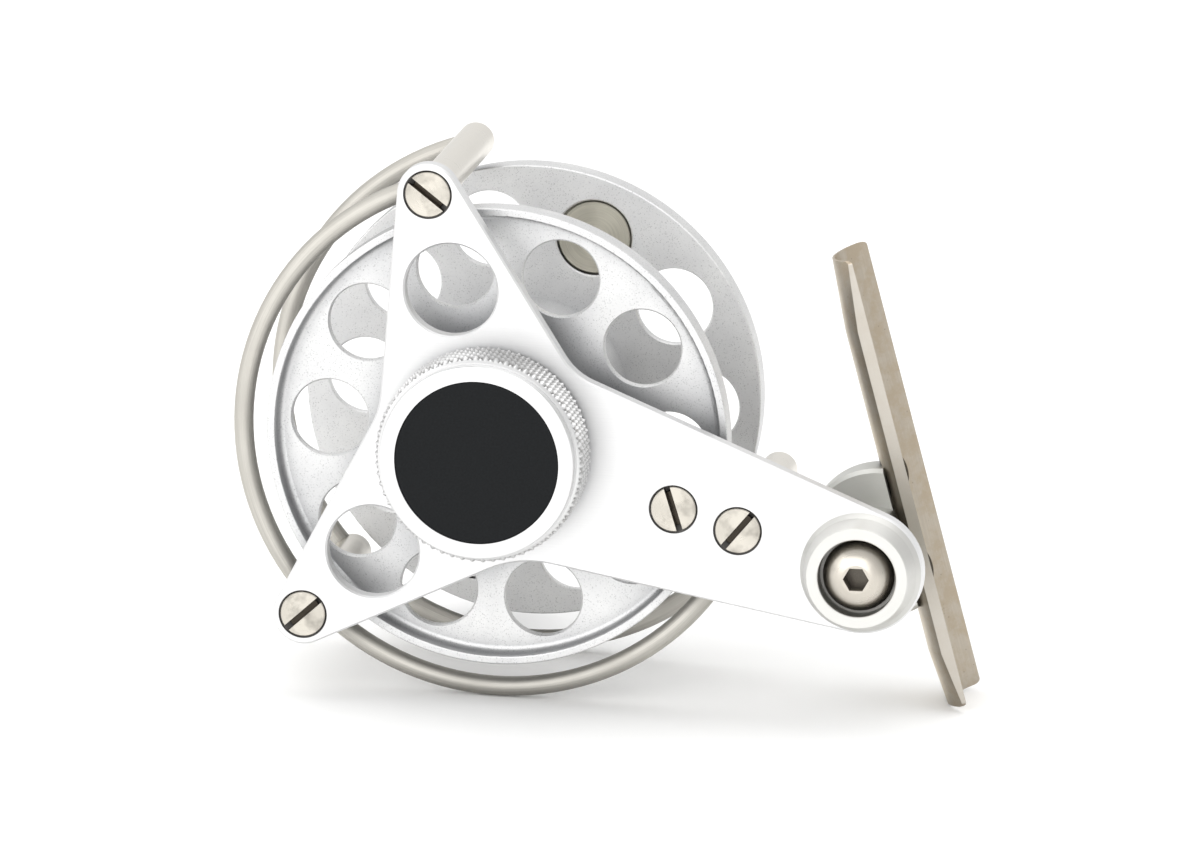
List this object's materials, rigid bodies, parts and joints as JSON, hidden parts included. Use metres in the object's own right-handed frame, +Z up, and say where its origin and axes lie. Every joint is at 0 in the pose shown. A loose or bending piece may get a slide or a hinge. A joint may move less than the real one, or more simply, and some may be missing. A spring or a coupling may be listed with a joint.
{
  "type": "fly reel",
  "caption": "Small trout fly reel: three-arm frame with wire line guards, ported spool, knurled disc-drag knob, click pawl, handle and a swivelling rod foot.",
  "frame": {"origin": "middle of the reel's bounding box at its underside, on the surface that the line guards and the foot's lower end stand on", "axes": "+Z up, +X from the spool towards the rod foot, +Y along the spool's axis from the drag knob to the handle"},
  "size_m": [0.0984, 0.0658, 0.0738],
  "materials": {
    "plate_aluminium": "fine brushed satin",
    "flange_aluminium": "bead blasted, clear anodised",
    "turned_aluminium": "fine turned satin",
    "guard_steel": "satin stainless wire",
    "screw_steel": "turned stainless, warm",
    "foot_steel": "satin stainless sheet, warm",
    "weight_steel": "turned steel",
    "black_inset": "black satin",
    "handle_black": "black satin, turned",
    "gear_brass": "machined",
    "spring_steel": "bright",
    "bearing_steel": "ground",
    "cork": "pressed cork",
    "nylon": "natural nylon"
  },
  "bodies": {
    "frame": {"frame_plate": "plate_aluminium", "arm_end_collar": "turned_aluminium", "front_line_guard": "guard_steel", "rear_line_guard": "guard_steel", "top_pillar": "guard_steel", "lower_pillar": "guard_steel", "arm_pillar": "guard_steel", "pillar_screws": "screw_steel", "pawl_screw": "screw_steel", "pawl_post": "screw_steel", "pawl_clip": "spring_steel", "pawl_spring": "spring_steel", "spindle": "bearing_steel", "spindle_nut": "screw_steel", "spool_screw": "turned_aluminium", "knob_screw": "screw_steel"},
    "spool": {"front_flange": "flange_aluminium", "rear_flange": "flange_aluminium", "arbor": "turned_aluminium", "front_bearing": "bearing_steel", "rear_bearing": "bearing_steel", "click_gear": "spring_steel", "brake_disc": "spring_steel", "front_flange_screws": "screw_steel", "rear_flange_screws": "screw_steel", "counterweight": "weight_steel", "handle_boss": "turned_aluminium", "handle_post": "screw_steel", "handle_screw": "screw_steel"},
    "handle": {"handle_knob": "handle_black"},
    "drag_knob": {"drag_knob": "turned_aluminium", "knob_inset": "black_inset"},
    "drag_plate": {"drag_follower": "gear_brass", "drag_pins": "spring_steel", "pressure_plate": "spring_steel", "cork_ring": "cork"},
    "click_pawl": {"click_pawl": "spring_steel"},
    "foot": {"foot_plate": "foot_steel", "foot_boss": "turned_aluminium", "foot_washer": "nylon", "foot_bolt": "screw_steel", "foot_screws": "screw_steel"}
  },
  "joints": [
    {"name": "spool_spin", "type": "hinge", "parent": "frame", "child": "spool", "pos_m": [-0.01316, -0.0034, 0.03608], "axis": [0, 1, 0], "continuous": true},
    {"name": "handle_spin", "type": "hinge", "parent": "spool", "child": "handle", "pos_m": [-0.02103, 0.02195, 0.01458], "axis": [0, 1, 0], "continuous": true},
    {"name": "drag_knob_turn", "type": "hinge", "parent": "frame", "child": "drag_knob", "pos_m": [-0.01316, -0.02875, 0.03608], "axis": [0, 1, 0], "range_deg": [-135, 135]},
    {"name": "drag_plate_slide", "type": "slide", "parent": "frame", "child": "drag_plate", "axis": [0, 1, 0], "range_m": [-0.000151, 0.000151]},
    {"name": "click_pawl_pivot", "type": "hinge", "parent": "frame", "child": "click_pawl", "pos_m": [0.01165, -0.0203, 0.02916], "axis": [0, 1, 0], "range_deg": [0, 6.5], "stiffness_Nm_per_rad": 0.004, "springref_deg": -17.19},
    {"name": "foot_swivel", "type": "hinge", "parent": "frame", "child": "foot", "pos_m": [0.03674, -0.01605, 0.02215], "axis": [0, 1, 0], "range_deg": [-10, 65]}
  ],
  "couplings": [
    {"joint": "drag_plate_slide", "follows": "drag_knob_turn", "m_per_rad": 0.00006366}
  ]
}
